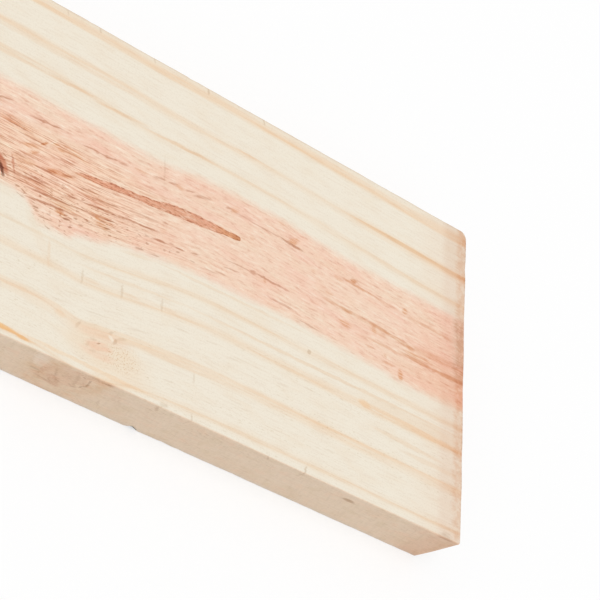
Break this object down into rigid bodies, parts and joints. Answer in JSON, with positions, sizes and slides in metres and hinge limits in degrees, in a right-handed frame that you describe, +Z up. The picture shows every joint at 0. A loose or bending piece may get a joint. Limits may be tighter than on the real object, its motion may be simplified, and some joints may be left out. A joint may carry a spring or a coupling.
{
  "type": "timber plank",
  "caption": "Straight sawn softwood plank with square-cut ends, rubbed arrises and a pink heartwood streak in its pale upper face, for general building.",
  "frame": {"origin": "middle of the underside, on the surface that the plank lies on", "axes": "+X along the plank, towards the end that the picture shows; +Y across its width; +Z up through its thickness, out of the heart face"},
  "size_m": [1.8, 0.15, 0.025],
  "materials": {
    "timber": "sawn, bare"
  },
  "bodies": {
    "root": {"plank": "timber"}
  },
  "joints": []
}
